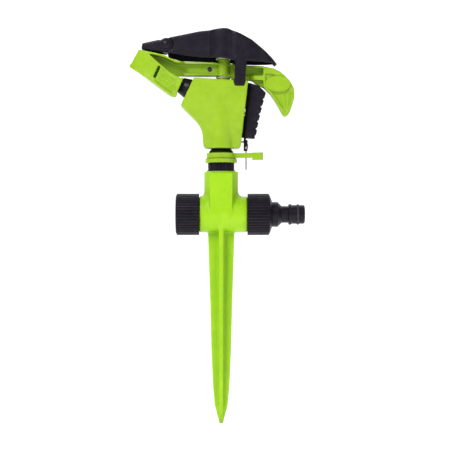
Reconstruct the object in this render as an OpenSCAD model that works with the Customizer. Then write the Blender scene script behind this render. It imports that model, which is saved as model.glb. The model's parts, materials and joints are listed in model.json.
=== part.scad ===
// Part-circle impact sprinkler on a ground spike, in millimetres, +Z up.
// Origin: on the stem's axis, at the ground line where the spike meets the tee.
// +X runs towards the hose inlet. The head's jet leaves up and towards -X.
// The head's own pieces are drawn from the underside of the head body.

/* [Spike and tee] */
// Length of the spike below the ground line
spike_len = 156; // [120:1:200]
// Width across the fins at the ground line
spike_w = 21.6; // [17:0.2:27]
// Thickness of a fin at the ground line
fin_top_t = 4.2; // [3.4:0.1:5.2]
// Thickness of a fin at the tip
fin_tip_t = 3.2; // [2.6:0.1:3.4]
// Outside diameter of the tee's level pipe
pipe_d = 29.5; // [28:0.5:36]
// Bore of the tee's level pipe
pipe_bore = 18; // [14:0.5:20]
// Reach of the pipe from the stem's axis to the end cap
pipe_left = 17.8; // [15:0.2:24]
// Reach of the pipe from the stem's axis to the inlet nut
pipe_right = 21.4; // [17.5:0.2:28]
// Crest diameter of the pipe's outside threads
thread_d = 26.2; // [24:0.1:27]
// Length of each outside thread
thread_len = 12.6; // [10:0.2:15.2]
// Outside diameter of the upright socket
socket_d = 27.9; // [26.4:0.1:34]
// Height of the upright socket above the pipe's axis
socket_h = 35.1; // [30:0.1:43]
// Width of the flat panels on the socket
panel_w = 18.6; // [15:0.2:22]

/* [Cap and inlet] */
// Outside diameter of the end cap and the nut over their ribs
nut_d = 34; // [30:0.5:41]
// Length of the end cap
cap_len = 19; // [18:0.2:23]
// Length of the inlet nut
nut_len = 18; // [17:0.2:22]
// Depth of the grip ribs
rib_depth = 0.7; // [0.4:0.1:1]
// Number of grip ribs
rib_count = 44; // [30:1:60]
// Diameter of the snap-in spigot's tip
spigot_d = 15.4; // [15.2:0.1:15.8]
// Diameter of the spigot's catch ridge
ridge_d = 17; // [16.8:0.1:18.4]
// Water bore of the spigot
spigot_bore = 9.6; // [8:0.2:10.4]
// Thickness of the flat seals in the screw joints
seal_t = 2.2; // [1.8:0.1:2.6]

/* [Bearing and stop rings] */
// Outside diameter of the stem that the head turns on
stem_d = 11.2; // [10:0.1:12.4]
// Water bore of the stem
stem_bore = 8; // [6.4:0.2:8.4]
// Diameter of the nipple's screw thread
nipple_thread_d = 20.8; // [19:0.1:21.4]
// Diameter of the nipple's splined band
band_d = 21.5; // [21:0.1:25]
// Height of the nipple's splined band
band_h = 6; // [5:0.1:7.2]
// Diameter of the neck inside the stop rings
neck_d = 17.6; // [17:0.1:18.6]
// Height of the lower stop ring
low_ring_h = 3.3; // [2.8:0.1:4]
// Height of the upper stop ring
top_ring_h = 4.3; // [3.6:0.1:5.2]
// Outside diameter of the lower stop ring
low_ring_d = 26; // [23:0.2:30]
// Outside diameter of the upper stop ring
top_ring_d = 24; // [23:0.2:30]
// Reach of a stop tab from the stem's axis
tab_reach = 36; // [33:0.5:43]
// Direction of the upper stop tab about the stem
top_tab_turn = -22; // [-40:1:-20]
// Direction of the lower stop tab about the stem
low_tab_turn = 106; // [102:1:112]

/* [Head] */
// Half thickness of the head body at its top
body_half_top = 15; // [14.6:0.1:17]
// Half thickness of the head body at its foot
body_half_foot = 8.7; // [8:0.1:10.4]
// Radius of the stem's round housing in the head
housing_r = 12; // [11:0.1:13.4]
// Angle of the jet above the level
jet_angle = 25.9; // [22:0.1:28]
// Outlet bore of the nozzle
jet_bore = 4.4; // [3.6:0.1:5.4]
// Distance of the arm's axis from the stem's axis
arm_x = 1.8; // [1:0.1:2.6]
// Diameter of the arm's fulcrum pin
fulcrum_d = 4; // [3.4:0.1:4.8]

/* [Arm] */
// Diameter of the arm's hub
hub_d = 10.4; // [9:0.1:12]
// Height of the arm's hub
hub_h = 14.7; // [14:0.1:15]
// Thickness of the arm's rims
rim_t = 1.7; // [1.4:0.1:2]
// Thickness of the arm's web
web_t = 2.4; // [2:0.1:2.9]
// Half width of the arm across its rims
arm_half_w = 5.5; // [5:0.1:6]
// Half thickness of the counterweight
hook_half_w = 6.5; // [6:0.1:7]

/* [Cover] */
// Wall thickness of the top cover and its nose flap
cover_wall = 2; // [1.6:0.1:2.3]
// Radius of the cover's round barrel over the hub
barrel_r = 15; // [14:0.1:15.2]
// Thickness of the cover's legs
leg_t = 2.4; // [2:0.1:2.8]

/* [Trip gear] */
// Half thickness of the trip lever
lever_half_t = 5.5; // [5.3:0.1:6]
// Diameter of the trip lever's hinge pins
lever_pin_d = 2.5; // [2.2:0.1:2.9]
// Diameter of the trip wire
wire_d = 1.2; // [1:0.1:1.4]
// Length of the trip wire below its rivet
wire_len = 17.4; // [14.5:0.1:18]

/* [Hidden] */
$fn = 64;
// clearance of a running fit, on the radius
run = 0.05;
// clearance of a fixed fit, on the radius
snug = 0.02;
// clearance between faces that turn past each other
face_gap = 0.3;
// overlap that joins drawn shapes, and overshoot of cuts
eps = 0.01;

base_green = [0.60, 0.86, 0.10];
head_green = [0.56, 0.76, 0.12];
black = [0.13, 0.12, 0.15];
rubber = [0.08, 0.08, 0.09];
nylon = [0.88, 0.87, 0.82];
steel = [0.70, 0.71, 0.72];

pipe_z = pipe_d/2 + 0.55;
socket_z = pipe_z + socket_h;
neck_r = neck_d/2;
gasket_t = 0.8;
band_z = socket_z + gasket_t;
low_ring_z = band_z + band_h + face_gap;
top_ring_z = low_ring_z + low_ring_h + face_gap;
neck_top_z = top_ring_z + top_ring_h;
collar_z = neck_top_z + face_gap;
collar_h = 3.4;
head_z = collar_z + collar_h;

thread_r = thread_d/2;
cap_x = -pipe_left - face_gap;
nut_x = pipe_right + 0.2;
nut_cavity = thread_len + seal_t;

stem_r = stem_d/2;
nipple_thread_len = 16.2;
nipple_foot_z = socket_z - nipple_thread_len;
thrust_t = 0.7;
rubber_t = 1.4;
flange_t = 2.5;
stem_foot_z = nipple_foot_z - thrust_t - rubber_t - flange_t - 0.2;
socket_floor_z = stem_foot_z - 1.2;
stem_in_head = 15;
pocket_r = neck_r - 1.1;
pocket_z = neck_top_z - 10.2;

// Head body's outline, from its foot: x, height
body_h = 55.5;
face_foot = [-33, 34.9];
face_len = (body_h - face_foot.y) / cos(jet_angle);
face_top = [face_foot.x + face_len*sin(jet_angle), body_h];
body_back_top = [22, 52.4];
body_back_foot = [16.4, 1.1];
lever_lean = atan2(body_back_top.x - body_back_foot.x, body_back_top.y - body_back_foot.y);
cove_r = 21.5;
cove_start = [-15, 8];
nozzle_along = 15.6;
nozzle_seat = face_foot + nozzle_along*[sin(jet_angle), cos(jet_angle)];
nozzle_base_r = 8.2;
nozzle_front_r = 6.3;
nozzle_out = 8;
nozzle_tube_r = 4.6;
nozzle_tube_len = 12;

hub_z = 58.6;
washer_t = 0.6;
boss_top = hub_z - 0.1 - washer_t;
hub_top = hub_z + hub_h;
cover_peak = 97.2;
leg_x = [10.5, 19.4];
leg_foot = 50.8;
leg_out = body_half_top - 0.4;
leg_in = leg_out - leg_t;
notch_gap = 0.15;

flap_pivot = [-44.7, 84.7];
ear_r = 5.3;
ear_gap = 0.35;
knuckle_r = 6.2;
nose_half_w = 8.4;
flap_pin_r = 1.4;

// the lever's round back sits in a channel of the body's back
lever_gap = 0.4;
lever_channel = 1.7;
lever_seat = lever_half_t + lever_gap;
lever_axis_off = lever_seat - lever_channel;
lever_foot = [body_back_foot.x + lever_axis_off*cos(lever_lean),
              body_back_foot.y - lever_axis_off*sin(lever_lean)];
upper_lug = [40, 44.5];
lower_lug = [13, 17.5];
lug_half_t = 1.6;
lug_r = 2.9;
pin_r = lever_pin_d/2;
lug_pocket_half = 3.2;
trip_x = 20.4;
rock_h = 5.6;
rock_pin_r = 0.9;
rivet_h = 0.6;
rivet_r = 0.6;
wire_r = wire_d/2;
fork_half = wire_r + 0.35;

// ---------- shared shapes ----------

// Points of an arc about c, from angle a0 to a1
function arc(c, r, a0, a1, n = 10) =
    [for (i = [0:n]) c + r*[cos(a0 + (a1 - a0)*i/n), sin(a0 + (a1 - a0)*i/n)]];

// Outline of a band of thickness t that hangs below a line of points
function band(top, t) =
    concat(top, [for (i = [len(top) - 1:-1:0]) top[i] - [0, t]]);

// Outline of an ellipse
function oval(a, b, n = 48) = [for (i = [0:n - 1]) [a*cos(360*i/n), b*sin(360*i/n)]];

// Outline of a ribbed round: crests at r, valleys rib_depth lower
function ribbed(r, depth, n) =
    [for (i = [0:n - 1]) for (k = [[0, 0], [0.16, 1], [0.62, 1], [0.78, 0]])
        (r - depth + k.y*depth)*[cos(360*(i + k.x)/n), sin(360*(i + k.x)/n)]];

// Stands an outline of x and height up, with thickness w across Y
module upright(outline, w) {
    rotate([90, 0, 0]) linear_extrude(height = w, center = true) polygon(outline);
}

// The same, on one side only, from y0 to y1
module upright_at(outline, y0, y1) {
    translate([0, y1, 0]) rotate([90, 0, 0]) linear_extrude(height = y1 - y0) polygon(outline);
}

// Turns a profile of radius and length about the X axis
module turned_x(profile) {
    rotate([0, 90, 0]) rotate_extrude() polygon(profile);
}

// Flat ring on the Z axis
module ring(r_in, r_out, h) {
    difference() {
        cylinder(r = r_out, h = h);
        translate([0, 0, -1]) cylinder(r = r_in, h = h + 2);
    }
}

// Coil on the Z axis: a round wire swept up a helix
module coil(r, wire, h, turns, steps = 16, sides = 6) {
    n = turns*steps;
    pts = [for (i = [0:n]) for (k = [0:sides - 1])
        let (a = 360*i/steps, b = 360*k/sides, q = r + wire*cos(b))
            [q*cos(a), q*sin(a), wire + (h - 2*wire)*i/n + wire*sin(b)]];
    sheath = [for (i = [0:n - 1]) for (k = [0:sides - 1])
        let (j = (k + 1)%sides)
            [i*sides + k, (i + 1)*sides + k, (i + 1)*sides + j, i*sides + j]];
    ends = [[for (k = [0:sides - 1]) k], [for (k = [sides - 1:-1:0]) n*sides + k]];
    polyhedron(points = pts, faces = concat(sheath, ends), convexity = 10);
}

module in_head() {
    translate([0, 0, head_z]) children();
}

// The trip lever's own frame: Z up its hinge axis, X away from the body's back
module in_lever() {
    in_head() translate([lever_foot.x, 0, lever_foot.y]) rotate([0, lever_lean, 0]) children();
}

// The nozzle's own frame: Z along the jet, origin on the slanted face
module in_nozzle() {
    in_head() translate([nozzle_seat.x, 0, nozzle_seat.y])
        rotate([0, -(90 - jet_angle), 0]) children();
}

// ---------- spike and tee ----------

// Half width of the spike against depth, as shares of the top's half width and the length
spike_shape = [[0.824, 0.385], [0.741, 0.622], [0.625, 0.80], [0.495, 0.904],
               [0.278, 0.962], [0.06, 1]];

module fin() {
    side = [for (s = spike_shape) [s.x*spike_w/2, -s.y*spike_len]];
    outline = concat([[spike_w/2, pipe_z], [spike_w/2, 0]], side,
        [for (i = [len(side) - 1:-1:0]) [-side[i].x, side[i].y]],
        [[-spike_w/2, 0], [-spike_w/2, pipe_z]]);
    taper = [[fin_top_t/2, pipe_z], [fin_top_t/2, 0], [fin_tip_t/2, -spike_len - 1],
             [-fin_tip_t/2, -spike_len - 1], [-fin_top_t/2, 0], [-fin_top_t/2, pipe_z]];
    intersection() {
        upright(outline, fin_top_t + 2);
        rotate([0, 0, 90]) upright(taper, spike_w + 2);
    }
}

module socket_panel() {
    w = panel_w/2;
    foot = pipe_z - 2;
    r = 4;
    outline = concat(arc([w - r, foot + r], r, 0, -90, 6), arc([r - w, foot + r], r, -90, -180, 6),
        [[-w, socket_z - 1.4], [w, socket_z - 1.4]]);
    upright(outline, pipe_d + 0.9);
}

module base_spike() {
    color(base_green) difference() {
        union() {
            fin();
            rotate([0, 0, 90]) fin();
            translate([-pipe_left, 0, pipe_z]) turned_x([[0, 0], [thread_r - 0.6, 0],
                [thread_r - 0.6, 1.6], [pipe_d/2, 2.2], [pipe_d/2, pipe_left + pipe_right],
                [0, pipe_left + pipe_right]]);
            translate([-pipe_left - thread_len, 0, pipe_z])
                turned_x([[0, 0], [thread_r - 0.8, 0], [thread_r, 0.8], [thread_r, thread_len],
                    [0, thread_len + eps]]);
            translate([pipe_right - eps, 0, pipe_z])
                turned_x([[0, 0], [thread_r, 0], [thread_r, thread_len - 0.8],
                    [thread_r - 0.8, thread_len], [0, thread_len]]);
            translate([0, 0, pipe_z]) cylinder(d = socket_d, h = socket_h);
            socket_panel();
        }
        translate([-pipe_left - thread_len - 1, 0, pipe_z]) rotate([0, 90, 0])
            cylinder(d = pipe_bore, h = pipe_left + pipe_right + 2*thread_len + 2);
        translate([0, 0, pipe_z]) cylinder(d = 14, h = socket_h);
        translate([0, 0, socket_floor_z])
            cylinder(d = nipple_thread_d + 2*run, h = socket_z - socket_floor_z + 1);
    }
}

module end_cap() {
    inside = thread_len + seal_t - face_gap;
    color(black) translate([cap_x - cap_len, 0, pipe_z]) difference() {
        union() {
            rotate([0, 90, 0]) translate([0, 0, 0.8]) linear_extrude(height = cap_len - 0.8)
                polygon(ribbed(nut_d/2, rib_depth, rib_count));
            turned_x([[0, 0], [nut_d/2 - 1.3, 0], [nut_d/2 - 0.9, 0.9], [0, 0.9]]);
        }
        translate([cap_len - inside, 0, 0]) rotate([0, 90, 0])
            cylinder(r = thread_r + run, h = inside + 1);
    }
}

module flat_seal(x) {
    translate([x, 0, pipe_z]) rotate([0, 90, 0])
        ring(pipe_bore/2 - 0.5, thread_r - 0.4, seal_t);
}

module end_cap_washer() {
    color(rubber) flat_seal(-pipe_left - thread_len - seal_t);
}

module inlet_washer() {
    color(rubber) flat_seal(pipe_right + thread_len);
}

spigot_r = spigot_d/2;
groove_r = spigot_r - 1.1;
shoulder = nut_x + nut_len;
groove_x = shoulder + 22.1;
groove_w = 2.1;
spigot_end = groove_x + groove_w + 4.6;

module inlet_adaptor() {
    inside = nut_cavity + pipe_right - nut_x;
    color(black) translate([0, 0, pipe_z]) difference() {
        union() {
            translate([nut_x, 0, 0]) rotate([0, 90, 0]) linear_extrude(height = nut_len - 0.6)
                polygon(ribbed(nut_d/2, rib_depth, rib_count));
            turned_x([[0, nut_x + 1], [nut_d/2 - 1, nut_x + 1], [nut_d/2 - 1, shoulder],
                [10.2, shoulder + 2.3], [10.2, shoulder + 6.6], [7.2, shoulder + 9.6],
                [6.85, shoulder + 10.2], [6.85, shoulder + 15], [ridge_d/2, shoulder + 15.8],
                [ridge_d/2, shoulder + 17.4], [spigot_r, shoulder + 18.4], [spigot_r, groove_x],
                [groove_r, groove_x], [groove_r, groove_x + groove_w],
                [spigot_r, groove_x + groove_w], [spigot_r, spigot_end - 0.9],
                [spigot_r - 0.9, spigot_end], [0, spigot_end]]);
        }
        translate([nut_x - 1, 0, 0]) rotate([0, 90, 0]) cylinder(r = thread_r + run, h = inside + 1);
        translate([nut_x, 0, 0]) rotate([0, 90, 0])
            cylinder(d = spigot_bore, h = spigot_end - nut_x + 1);
    }
}

module spigot_o_ring() {
    tube = 0.95;
    color(rubber) translate([groove_x + groove_w/2, 0, pipe_z]) rotate([0, 90, 0])
        rotate_extrude() translate([groove_r + tube + snug, 0]) circle(r = tube, $fn = 32);
}

// ---------- bearing and stop rings ----------

module nipple_gasket() {
    color(rubber) translate([0, 0, socket_z])
        ring(nipple_thread_d/2 + 0.3, band_d/2 + 0.9, gasket_t);
}

module bearing_nipple() {
    r = nipple_thread_d/2;
    color(black) difference() {
        union() {
            translate([0, 0, nipple_foot_z]) cylinder(r = r, h = band_z - nipple_foot_z);
            translate([0, 0, band_z]) linear_extrude(height = band_h)
                polygon(ribbed(band_d/2, 0.6, 24));
            translate([0, 0, band_z]) cylinder(r = neck_r, h = neck_top_z - band_z);
        }
        translate([0, 0, nipple_foot_z - 1])
            cylinder(r = stem_r + run, h = neck_top_z - nipple_foot_z + 2);
        translate([0, 0, pocket_z]) cylinder(r = pocket_r, h = neck_top_z - pocket_z + 1);
    }
}

// Ring with a tab: the arm starts in the ring and ends in a paddle
module stop_ring(d, h, turn, tab_z, tab_h) {
    paddle_len = 8.3;
    paddle_x = tab_reach - paddle_len;
    rotate([0, 0, turn]) difference() {
        union() {
            cylinder(d = d, h = h);
            translate([neck_r + 1, -1.3, 0.2]) cube([paddle_x - neck_r, 2.6, h - 0.4]);
            translate([paddle_x, -1.6, tab_z]) cube([paddle_len, 3.2, tab_h]);
        }
        translate([0, 0, -1]) cylinder(r = neck_r + run, h = h + 2);
    }
}

module lower_stop_ring() {
    color(head_green) translate([0, 0, low_ring_z])
        stop_ring(low_ring_d, low_ring_h, low_tab_turn, -2.6, low_ring_h + 2.6);
}

module upper_stop_ring() {
    color(head_green) translate([0, 0, top_ring_z])
        stop_ring(top_ring_d, top_ring_h, top_tab_turn, -1.7, top_ring_h + 1.7);
}

module stem_collar() {
    color(black) translate([0, 0, collar_z]) rotate_extrude()
        polygon([[stem_r + snug, 0], [10, 0], [10, 1], [8.4, collar_h - 0.6], [8, collar_h - 0.4],
            [8, collar_h + 2], [stem_r + snug, collar_h + 2]]);
}

module bearing_stem() {
    flange_r = nipple_thread_d/2 - 2;
    color(black) difference() {
        union() {
            translate([0, 0, stem_foot_z]) cylinder(r = stem_r, h = head_z + stem_in_head - stem_foot_z);
            translate([0, 0, stem_foot_z]) cylinder(r = flange_r, h = flange_t);
        }
        translate([0, 0, stem_foot_z - 1])
            cylinder(d = stem_bore, h = head_z + stem_in_head - stem_foot_z + 2);
    }
}

module seal_washer() {
    color(rubber) translate([0, 0, stem_foot_z + flange_t])
        ring(stem_r + snug, nipple_thread_d/2 - 1.8, rubber_t);
}

module thrust_washer() {
    color(nylon) translate([0, 0, stem_foot_z + flange_t + rubber_t])
        ring(stem_r + snug, nipple_thread_d/2 - 1.4, thrust_t);
}

module spring_washer() {
    color(nylon) translate([0, 0, pocket_z + 0.2]) ring(stem_r + 0.1, pocket_r - face_gap, 0.6);
}

module stem_spring() {
    wire = 0.45;
    z0 = pocket_z + 0.2 + 0.6;
    color(steel) translate([0, 0, z0])
        coil((stem_r + pocket_r)/2, wire, collar_z - z0, 5);
}

// ---------- head body and nozzle ----------

function body_outline() = concat(
    arc([-11.7, 3], 3, 270, 180, 6),
    arc([cove_start.x - cove_r, cove_start.y], cove_r, 0, 45, 10),
    [face_foot, face_top, body_back_top],
    arc([body_back_foot.x - 3.3, 3], 3, 0, -90, 6));

module body_shape() {
    flare = [[body_half_foot, 0], [body_half_top, body_h], [body_half_top, body_h + 1],
             [-body_half_top, body_h + 1], [-body_half_top, body_h], [-body_half_foot, 0]];
    intersection() {
        upright(body_outline(), 4*body_half_top);
        rotate([90, 0, 90]) linear_extrude(height = 120, center = true) polygon(flare);
    }
    cylinder(r = housing_r, h = 34);
    translate([arm_x, 0, body_h - 8]) cylinder(r = 5.6, h = boss_top - body_h + 8);
}

// Ear that holds a lever pin, in the lever's frame
module lever_lug(span) {
    translate([0, 0, span.x]) cylinder(r = lug_r, h = span.y - span.x);
    translate([-lever_seat - 1, -lug_half_t, span.x])
        cube([lever_seat + 1, 2*lug_half_t, span.y - span.x]);
}

module leg_outline_cut(gap) {
    upright_at([[leg_x[0] - gap, 60], [leg_x[0] - gap, leg_foot + 3], [leg_x[0] + 0.8 - gap, leg_foot - gap],
        [leg_x[1] - 0.8 + gap, leg_foot - gap], [leg_x[1] + gap, leg_foot + 3],
        [leg_x[1] + 0.6 + gap, 60]], leg_in - gap, leg_out + 6);
}

module head_body() {
    color(head_green) {
        difference() {
            in_head() body_shape();
            in_head() {
                translate([0, 0, -1]) cylinder(r = 8 + snug, h = 1 + 2 + snug);
                translate([0, 0, -1]) cylinder(r = stem_r + snug, h = stem_in_head + 1);
                cylinder(d = stem_bore, h = 40);
                translate([arm_x, 0, 40]) cylinder(d = fulcrum_d + 2*snug, h = 30);
                leg_outline_cut(notch_gap);
                mirror([0, 1, 0]) leg_outline_cut(notch_gap);
                translate([12, 0, rock_h]) rotate([0, 90, 0]) cylinder(r = rock_pin_r + snug, h = 10);
            }
            in_lever() translate([-lever_seat, -lever_half_t - 0.9, 6.9])
                cube([lever_seat, 2*lever_half_t + 1.8, 60]);
            in_nozzle() {
                translate([0, 0, -28]) cylinder(r = stem_bore/2 - 0.5, h = 29);
                translate([0, 0, -nozzle_tube_len]) cylinder(r = nozzle_tube_r + snug, h = 20);
            }
        }
        in_lever() difference() {
            union() {
                lever_lug(upper_lug);
                lever_lug(lower_lug);
                translate([-lever_seat - 1, 0, 29]) rotate([0, 90, 0]) cylinder(r = 1.1, h = 2.2);
            }
            cylinder(r = pin_r + snug, h = 60);
        }
    }
}

module nozzle() {
    front = nozzle_out;
    color(black) in_nozzle() difference() {
        rotate_extrude() polygon([[0, -nozzle_tube_len + 0.2], [nozzle_tube_r, -nozzle_tube_len + 0.2],
            [nozzle_tube_r, 0.05], [nozzle_base_r, 0.05], [nozzle_base_r, 1.4],
            [nozzle_front_r + 0.4, front - 1], [nozzle_front_r, front], [0, front]]);
        translate([0, 0, -20]) cylinder(d = jet_bore, h = 40);
        translate([0, 0, -nozzle_tube_len]) cylinder(d1 = 2*nozzle_tube_r - 1.6, d2 = jet_bore, h = 9);
        translate([0, 0, front - 2.4]) cylinder(d1 = jet_bore, d2 = jet_bore + 4, h = 2.5);
        translate([0, 0, -5.2]) ring(nozzle_tube_r - 0.9, nozzle_tube_r + 1, 1.9);
    }
}

module nozzle_o_ring() {
    tube = 0.42;
    color(rubber) in_nozzle() translate([0, 0, -4.25]) rotate_extrude()
        translate([nozzle_tube_r - 0.9 + tube + snug, 0]) circle(r = tube, $fn = 24);
}

module fulcrum_pin() {
    color(steel) in_head() translate([arm_x, 0, 42]) cylinder(d = fulcrum_d, h = cover_peak - 4 - 42);
}

module hub_washer(z) {
    in_head() translate([arm_x, 0, z]) ring(fulcrum_d/2 + 0.1, hub_d/2 + 1, washer_t);
}

module lower_hub_washer() {
    color(nylon) hub_washer(boss_top);
}

module upper_hub_washer() {
    color(nylon) hub_washer(hub_top + 0.1);
}

module arm_spring() {
    z0 = hub_top + 0.1 + washer_t;
    color(steel) in_head() translate([arm_x, 0, z0]) coil(4.6, 0.5, 12, 7);
}

// ---------- cover and nose flap ----------

// Top line of the cover from nose to tail
cover_top = [[-62.4, 84.6], [-41.1, 89.8], [-17.8, 95.3], [1.7, cover_peak], [5.5, 97],
             [15.7, 92.9], [25, 87.9], [36.2, 79], [42.6, 73], [45.9, 69.2]];
// Lower line of the side walls from tail to nose
cover_edge = [[43.6, 67.4], [42.2, 69.6], [11, 70.7], [3.6, 72.5], [-10.2, 73.6], [-24.1, 74.8],
              [-39.9, 77.1], [-50.2, 78.6], [-63.2, 81]];
// Part of the far wall that reaches lower, beside the arm
far_skirt = [[-38, 78], [-38, 74], [-33, 72.6], [2, 71.6], [6, 73], [6, 80]];
// Half width of the cover from nose to tail
cover_tail = 35.6;
cover_plan = concat([[-63.4, 5.6], [-61.5, 6.9], [-45, nose_half_w], [-26, 9], [-8, 9.6], [8, 13.2]],
    [for (t = [0:0.09:0.99]) [12 + cover_tail*t, leg_out*pow(1 - pow(t, 2.6), 0.8)]]);

function both_sides(half) =
    concat(half, [for (i = [len(half) - 1:-1:0]) [half[i].x, -half[i].y]]);

module cover_outer() {
    intersection() {
        union() {
            upright(concat(cover_top, cover_edge), 60);
            upright_at(far_skirt, 5, 30);
        }
        translate([0, 0, 60]) linear_extrude(height = 45) union() {
            polygon(both_sides(cover_plan));
            translate([arm_x, 0]) circle(r = barrel_r);
        }
    }
}

module cover_inner() {
    drop = [for (p = cover_top) p - [0, 1.1*cover_wall]];
    inner = concat([[-66, 60], [-66, 80]], [for (p = drop) if (p.x < 40) p], [[44, 70], [47, 60]]);
    intersection() {
        upright(inner, 60);
        translate([0, 0, 50]) linear_extrude(height = 50) offset(delta = -cover_wall) union() {
            polygon(both_sides(cover_plan));
            translate([arm_x, 0]) circle(r = barrel_r);
        }
    }
}

module cover_shell() {
    difference() {
        cover_outer();
        cover_inner();
    }
}

module y_cylinder(p, r, y0, y1) {
    translate([p.x, y1, p.y]) rotate([90, 0, 0]) cylinder(r = r, h = y1 - y0);
}

knuckle_half = nose_half_w - cover_wall - ear_gap;

// Everything that belongs to the flap's side of the hinge
module flap_zone(gap) {
    translate([-90, -20, 60]) cube([90 + flap_pivot.x + gap, 40, 60]);
    y_cylinder(flap_pivot, ear_r + gap, -20, 20);
}

module leg() {
    upright_at([[leg_x[0] + 1, 74], [leg_x[0], leg_foot + 3], [leg_x[0] + 0.8, leg_foot],
        [leg_x[1] - 0.8, leg_foot], [leg_x[1], leg_foot + 3], [leg_x[1] + 1.4, 74]], leg_in, leg_out);
}

module top_cover() {
    color(black) in_head() {
        difference() {
            union() {
                difference() {
                    cover_shell();
                    flap_zone(ear_gap);
                }
                // tongue that carries the flap's pin between its ears
                intersection() {
                    cover_outer();
                    union() {
                        y_cylinder(flap_pivot, knuckle_r, -knuckle_half, knuckle_half);
                        translate([flap_pivot.x, -knuckle_half, flap_pivot.y - 3.4])
                            cube([9, 2*knuckle_half, 14]);
                    }
                }
                // boss for the top of the fulcrum pin
                translate([arm_x, 0, cover_peak - 10]) cylinder(r = 4.2, h = 8.4);
            }
            translate([arm_x, 0, 70]) cylinder(d = fulcrum_d + 2*snug, h = cover_peak - 3.8 - 70);
            y_cylinder(flap_pivot, flap_pin_r + snug, -20, 20);
        }
        leg();
        mirror([0, 1, 0]) leg();
    }
}

module nose_flap() {
    color(black) in_head() difference() {
        intersection() {
            difference() {
                cover_shell();
                y_cylinder(flap_pivot, knuckle_r + ear_gap, -knuckle_half - ear_gap,
                    knuckle_half + ear_gap);
                translate([flap_pivot.x - 1, -knuckle_half - ear_gap, 60])
                    cube([20, 2*knuckle_half + 2*ear_gap, 60]);
            }
            flap_zone(0);
        }
        y_cylinder(flap_pivot, flap_pin_r + run, -20, 20);
    }
    color(black) in_head() for (s = [-1, 1]) difference() {
        y_cylinder(flap_pivot, ear_r, s > 0 ? knuckle_half + ear_gap : -nose_half_w - 0.5,
            s > 0 ? nose_half_w + 0.5 : -knuckle_half - ear_gap);
        y_cylinder(flap_pivot, flap_pin_r + run, -20, 20);
    }
}

// Pin with a domed head at each end
module flap_pin() {
    dome_r = 5.4;
    rim = 3.9;
    seat = nose_half_w + 0.5 + 0.1;
    color(black) in_head() {
        y_cylinder(flap_pivot, flap_pin_r, -seat - 0.5, seat + 0.5);
        for (s = [-1, 1]) intersection() {
            translate([flap_pivot.x, s*(seat - sqrt(dome_r*dome_r - rim*rim)), flap_pivot.y])
                sphere(r = dome_r);
            y_cylinder(flap_pivot, rim, s > 0 ? seat : -seat - 4, s > 0 ? seat + 4 : -seat);
        }
    }
}

// ---------- hammer arm ----------

upper_rim = [[34.6, 67], [-6.6, 70.3], [-30, 70.7], [-36.4, 71.2], [-41, 73.2], [-45.7, 75.4],
             [-51, 77], [-57.4, 78.4], [-67.2, 80.6]];
lower_rim = [[34.6, 59.2], [22, 59.6], [-30.2, 61.3]];
spoon_rim = [[-30.6, 58.6], [-32.2, 56.8], [-34.9, 57.6], [-40.8, 61], [-50.5, 68.8], [-60.4, 78]];
spoon_foot = [[-75.3, 67.8], [-74.6, 66.9], [-65.5, 60.6], [-57.5, 55.3], [-47.7, 47.9],
              [-38.6, 41.3], [-36.4, 42], [-35.4, 46.1], [-31, 56]];
spoon_wall = 1.8;
spoon_half = 10.6;
spoon_far = 9;
swing_clear_r = 39;
hook_outline = [[34.2, 67], [43.5, 65.2], [48.4, 62.7], [52.4, 59.3], [55.6, 55.3], [57.3, 53],
                [59.2, 49.6], [59.8, 45.6], [59.7, 41.5], [58.8, 37.7], [56.6, 31.2], [55.2, 28.2],
                [52.9, 26.8], [50.6, 28], [46.4, 34.9], [41.8, 41.8], [36.9, 48], [34.2, 51]];
weight_at = [46.4, 52.6];
weight_a = 10.4;
weight_b = 6.6;

// Outline of the hammer arm seen from above
arm_plan = [[34.6, hook_half_w], [27, hook_half_w], [23, 3.2], [9, 3.2], [-4, arm_half_w],
            [-30, arm_half_w], [-41, spoon_far], [-60, spoon_far], [-64, 6.2], [-68.4, 0],
            [-75.9, 1.4], [-75.9, 0.2], [-70, -4.8], [-62, -9], [-52, -spoon_half],
            [-33, -spoon_half], [-29.6, -arm_half_w], [-4, -arm_half_w], [9, -3.2],
            [23, -3.2], [27, -hook_half_w], [34.6, -hook_half_w]];
near_wall_plan = [[-30.4, -8.95], [-52, -spoon_half + spoon_wall], [-61.4, -7.1], [-69, -3],
                  [-75.2, 2], [-75.9, 0.2], [-70, -4.8], [-62, -9], [-52, -spoon_half],
                  [-30.4, -spoon_half]];

module over_plan(plan) {
    translate([0, 0, 30]) linear_extrude(height = 60) polygon(plan);
}

// Keeps the nozzle's path clear as the arm swings past it
module swing_clearance() {
    difference() {
        translate([arm_x, -8.9, 30]) translate([-60, 0, 0]) cube([60, 40, hub_z - 30 + 0.7]);
        difference() {
            translate([arm_x - 80, -30, 0]) cube([90, 90, 80]);
            translate([arm_x, 0, -1]) cylinder(r = swing_clear_r, h = 90);
        }
    }
}

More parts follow.
